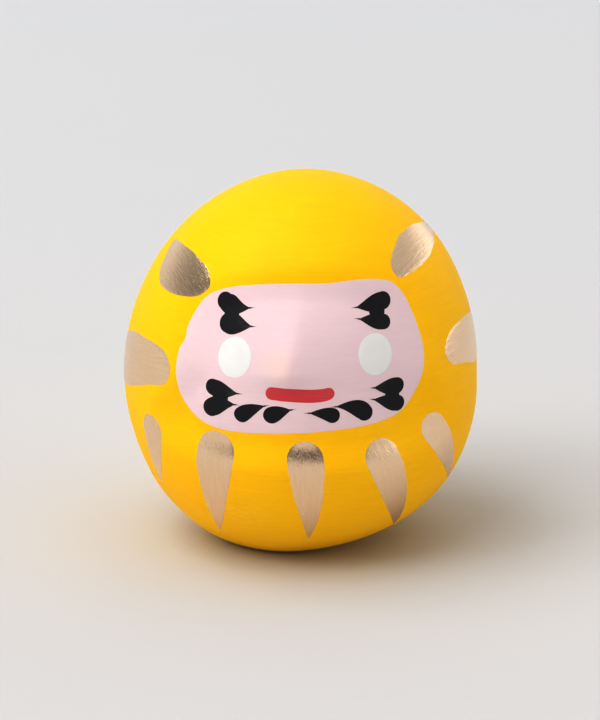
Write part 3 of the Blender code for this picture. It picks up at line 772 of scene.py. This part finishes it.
def flat_loop(place, degrees):
    return np.stack(to_flat(place, direction(degrees[:, 0], degrees[:, 1])), 1)


def face_panel():
    loop = flat_loop(FACE_FRAME, smooth_loop(FACE_PANEL, 14))
    loop = unsteady(loop, 0.05, 9)[::-1]
    return film("face_panel", FACE_FRAME, [loop], "pink_paint", 0.0, PANEL_THICK, 0.42)


def frame_around(middle):
    azimuth = math.degrees(math.atan2(middle[0], -middle[1]))
    return frame_at(azimuth, math.degrees(math.asin(middle[2])))


def gold_stroke(name, head, tip, width):
    start, end = direction(*head), direction(*tip)
    place = frame_around(unit(2 * start + end))
    head, tip = np.array(to_flat(place, start)), np.array(to_flat(place, end))
    loop = stroke_outline(head, (head + tip) / 2, tip, width, GOLD_TAPER, steps=70)
    loop = unsteady(loop, 0.05, 7)
    return film(name, place, [loop], "gold_foil", 0.0, GOLD_THICK, 0.4, (head, tip))


def gold_patch(name, degrees):
    line = smooth_loop(degrees, 14)
    place = frame_around(unit(direction(line[:, 0], line[:, 1]).sum(0)))
    loop = unsteady(flat_loop(place, line), 0.05, 9)
    ends = flat_loop(place, np.array([degrees[5], degrees[0]]))
    return film(name, place, [loop], "gold_foil", 0.0, GOLD_THICK, 0.42, (ends[0], ends[1]))


def base_paper():
    """Disc of paper glued under the foot, with a slightly uneven cut edge."""
    count, edge_wear_and_painted_glow, top = 96, 0.1, FOOT_Z + 0.04
    a = np.linspace(0, math.tau, count, endpoint=False)
    radius = BASE_RADIUS + 0.12 * np.sin(3 * a + 0.4) + 0.06 * np.sin(8 * a + 1.7)
    x0 = float(lean(0.0))
    rings = [(radius - edge_wear_and_painted_glow, 0.0), (radius, 0.08), (radius, FOOT_Z - 0.02), (radius - edge_wear_and_painted_glow, top)]
    points = [[(x0, 0.0, 0.0)]]
    for r, z in rings:
        points.append(np.stack([x0 + r * np.sin(a), -r * np.cos(a), np.full(count, z)], 1))
    points.append([(x0, 0.0, top)])
    faces = []
    for i in range(count):
        j = (i + 1) % count
        faces.append([0, 1 + j, 1 + i])
        for k in range(len(rings) - 1):
            low, high = 1 + k * count, 1 + (k + 1) * count
            faces.append([low + i, low + j, high + j, high + i])
        last = 1 + (len(rings) - 1) * count
        faces.append([last + i, last + j, last + count])
    piece = add_piece("base_paper_disc", np.concatenate(points) * MM, faces, "washi_paper", "base_paper")
    piece.data.set_sharp_from_angle(angle=math.radians(FILM_SHARP))
    return piece


half_shell("front_shell_painted", -90.0, "front_shell")
half_shell("back_shell_painted", 90.0, "back_shell")
base_paper()
face_panel()
for eye_name, (spot, wide, tall, tilted) in EYES.items():
    eye(eye_name, spot, wide, tall, tilted)
for mark_name, (spot, marks, joint) in FACE_STROKES.items():
    ink_mark(mark_name, spot, marks, joint)
mouth()
for stroke_name, (from_head, to_tip, widest) in GOLD_STROKES.items():
    gold_stroke(stroke_name, from_head, to_tip, widest)
for patch_name, corners_of in GOLD_PATCHES.items():
    gold_patch(patch_name, corners_of)

for node, slot in (("seam_strip", "washi_paper"), ("clay_weight", "clay")):
    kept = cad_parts[node]
    kept.data.materials.clear()
    kept.data.materials.append(LOOKS[slot])


# --- studio -----------------------------------------------------------------------------------
def studio_floor():
    t = Tree("studio_floor", (0.58, 0.58, 0.58), 0.85, specular=0.2)
    grain = t.object_place()
    soft = t.noise(grain, 9, 2)
    fine = t.noise(grain, 1500, 2)
    colour = t.mix(t.spread(soft, 0.3, 0.7), rgb(0.64, 0.633, 0.636), rgb(0.632, 0.625, 0.628))
    back = t.add("SeparateXYZ", {0: t.add("TexCoord").outputs["Object"]}).outputs[1]
    colour = t.mix(t.spread(back, 0.0, 0.5), colour, rgb(0.642, 0.646, 0.658))
    look = t.finish(colour, None, t.bump(fine, 0.00004, 0.2))
    bm = bmesh.new()
    bmesh.ops.create_grid(bm, x_segments=8, y_segments=8, size=3.0)
    mesh = bpy.data.meshes.new("studio_floor")
    bm.to_mesh(mesh)
    bm.free()
    mesh.materials.append(look)
    floor = bpy.data.objects.new("studio_floor", mesh)
    bpy.context.scene.collection.objects.link(floor)


def aimed(obj, at):
    obj.rotation_euler = (Vector(at) - obj.location).to_track_quat("-Z", "Y").to_euler()


def softbox(name, azimuth, elevation, size, power, colour, mirrored):
    lamp = bpy.data.lights.new(name, "AREA")
    lamp.shape = "RECTANGLE"
    lamp.size, lamp.size_y = size
    lamp.energy = power
    lamp.color = colour
    made = bpy.data.objects.new(name, lamp)
    made.location = Vector(direction(azimuth, elevation).tolist()) * FAR
    made.visible_glossy = mirrored
    bpy.context.scene.collection.objects.link(made)
    aimed(made, LAMP_AIM)


def studio_world():
    """Pale surroundings with a dark strip behind the camera, as in a studio with open front.

    Brightness at four heights (sine of elevation), for each side of the sky.
    """
    heights = (0.0, 0.15, 0.45, 1.0)
    sides = {
        ("Y", -1): (0.08, 0.05, 0.05, 0.98),
        ("Y", 1): (0.78, 1.05, 0.85, 1.0),
        ("X", -1): (0.92, 0.7, 0.22, 0.96),
        ("X", 1): (0.7, 2.2, 0.5, 1.0),
    }
    world = bpy.data.worlds.new("studio")
    bpy.context.scene.world = world
    world.use_nodes = True
    tree = world.node_tree

    def calc(operation, first, second):
        made = tree.nodes.new("ShaderNodeMath")
        made.operation = operation
        for socket, value in zip(made.inputs, (first, second)):
            if isinstance(value, bpy.types.NodeSocket):
                tree.links.new(value, socket)
            else:
                socket.default_value = value
        return made.outputs[0]

    parts = tree.nodes.new("ShaderNodeSeparateXYZ")
    tree.links.new(tree.nodes.new("ShaderNodeTexCoord").outputs["Generated"], parts.inputs[0])
    x, y, z = parts.outputs
    level = calc("ADD", calc("MULTIPLY", x, x), calc("MULTIPLY", y, y))
    level = calc("MAXIMUM", level, 1e-6)
    total = 0.0
    for (axis, sign), values in sides.items():
        towards = calc("MAXIMUM", calc("MULTIPLY", x if axis == "X" else y, sign), 0.0)
        share = calc("DIVIDE", calc("MULTIPLY", towards, towards), level)
        bright = values[0]
        for k in range(3):
            ramp = tree.nodes.new("ShaderNodeMapRange")
            tree.links.new(z, ramp.inputs[0])
            ramp.inputs[1].default_value, ramp.inputs[2].default_value = heights[k], heights[k + 1]
            ramp.inputs[3].default_value, ramp.inputs[4].default_value = 0.0, values[k + 1] - values[k]
            bright = calc("ADD", bright, ramp.outputs[0])
        total = calc("ADD", total, calc("MULTIPLY", share, bright))
    tree.links.new(total, tree.nodes["Background"].inputs["Strength"])
    tree.nodes["Background"].inputs["Color"].default_value = (1, 1, 1, 1)


studio_floor()
studio_world()
LAMP_AIM = (0, 0, 0.03)
WARM_WHITE = (1.0, 0.992, 0.98)
CARD_WARM = (1.0, 0.87, 0.76)  # light thrown back by pale cards
FAR = 5.0  # distance of every lamp from the doll
BOX = (2.7, 2.7)
CARD = (2.7, 0.9)
# Name, azimuth and elevation, size, power, colour and whether the gold mirrors it.
LAMPS = [
    ("softbox_left", -68.0, 35.0, BOX, 66.0, WARM_WHITE, False),
    ("softbox_left_front", -40.0, 35.0, BOX, 33.0, WARM_WHITE, True),
    ("softbox_top_left", -40.0, 60.0, BOX, 54.0, WARM_WHITE, True),
    ("softbox_top_back", -102.0, 60.0, BOX, 59.0, WARM_WHITE, True),
    ("card_front", -12.0, 2.5, CARD, 40.0, CARD_WARM, False),
    ("card_left", -62.0, 3.0, CARD, 16.0, CARD_WARM, False),
    ("card_right", 60.0, 4.0, CARD, 16.0, CARD_WARM, False),
]
for lamp in LAMPS:
    softbox(*lamp)

camera_data = bpy.data.cameras.new("camera")
camera_data.lens = 150
camera_data.sensor_width = 36
camera_data.clip_start = 0.01
camera = bpy.data.objects.new("camera", camera_data)
bpy.context.scene.collection.objects.link(camera)
CAMERA_ELEVATION = 17.0
CAMERA_DISTANCE = 0.4858
aim = Vector((-0.00008, 0.0, 0.02904))
camera.location = aim + Vector(direction(0.0, CAMERA_ELEVATION).tolist()) * CAMERA_DISTANCE
aimed(camera, aim)
bpy.context.scene.camera = camera
bpy.context.scene.view_settings.view_transform = "Standard"
bpy.context.scene.view_settings.gamma = 0.67
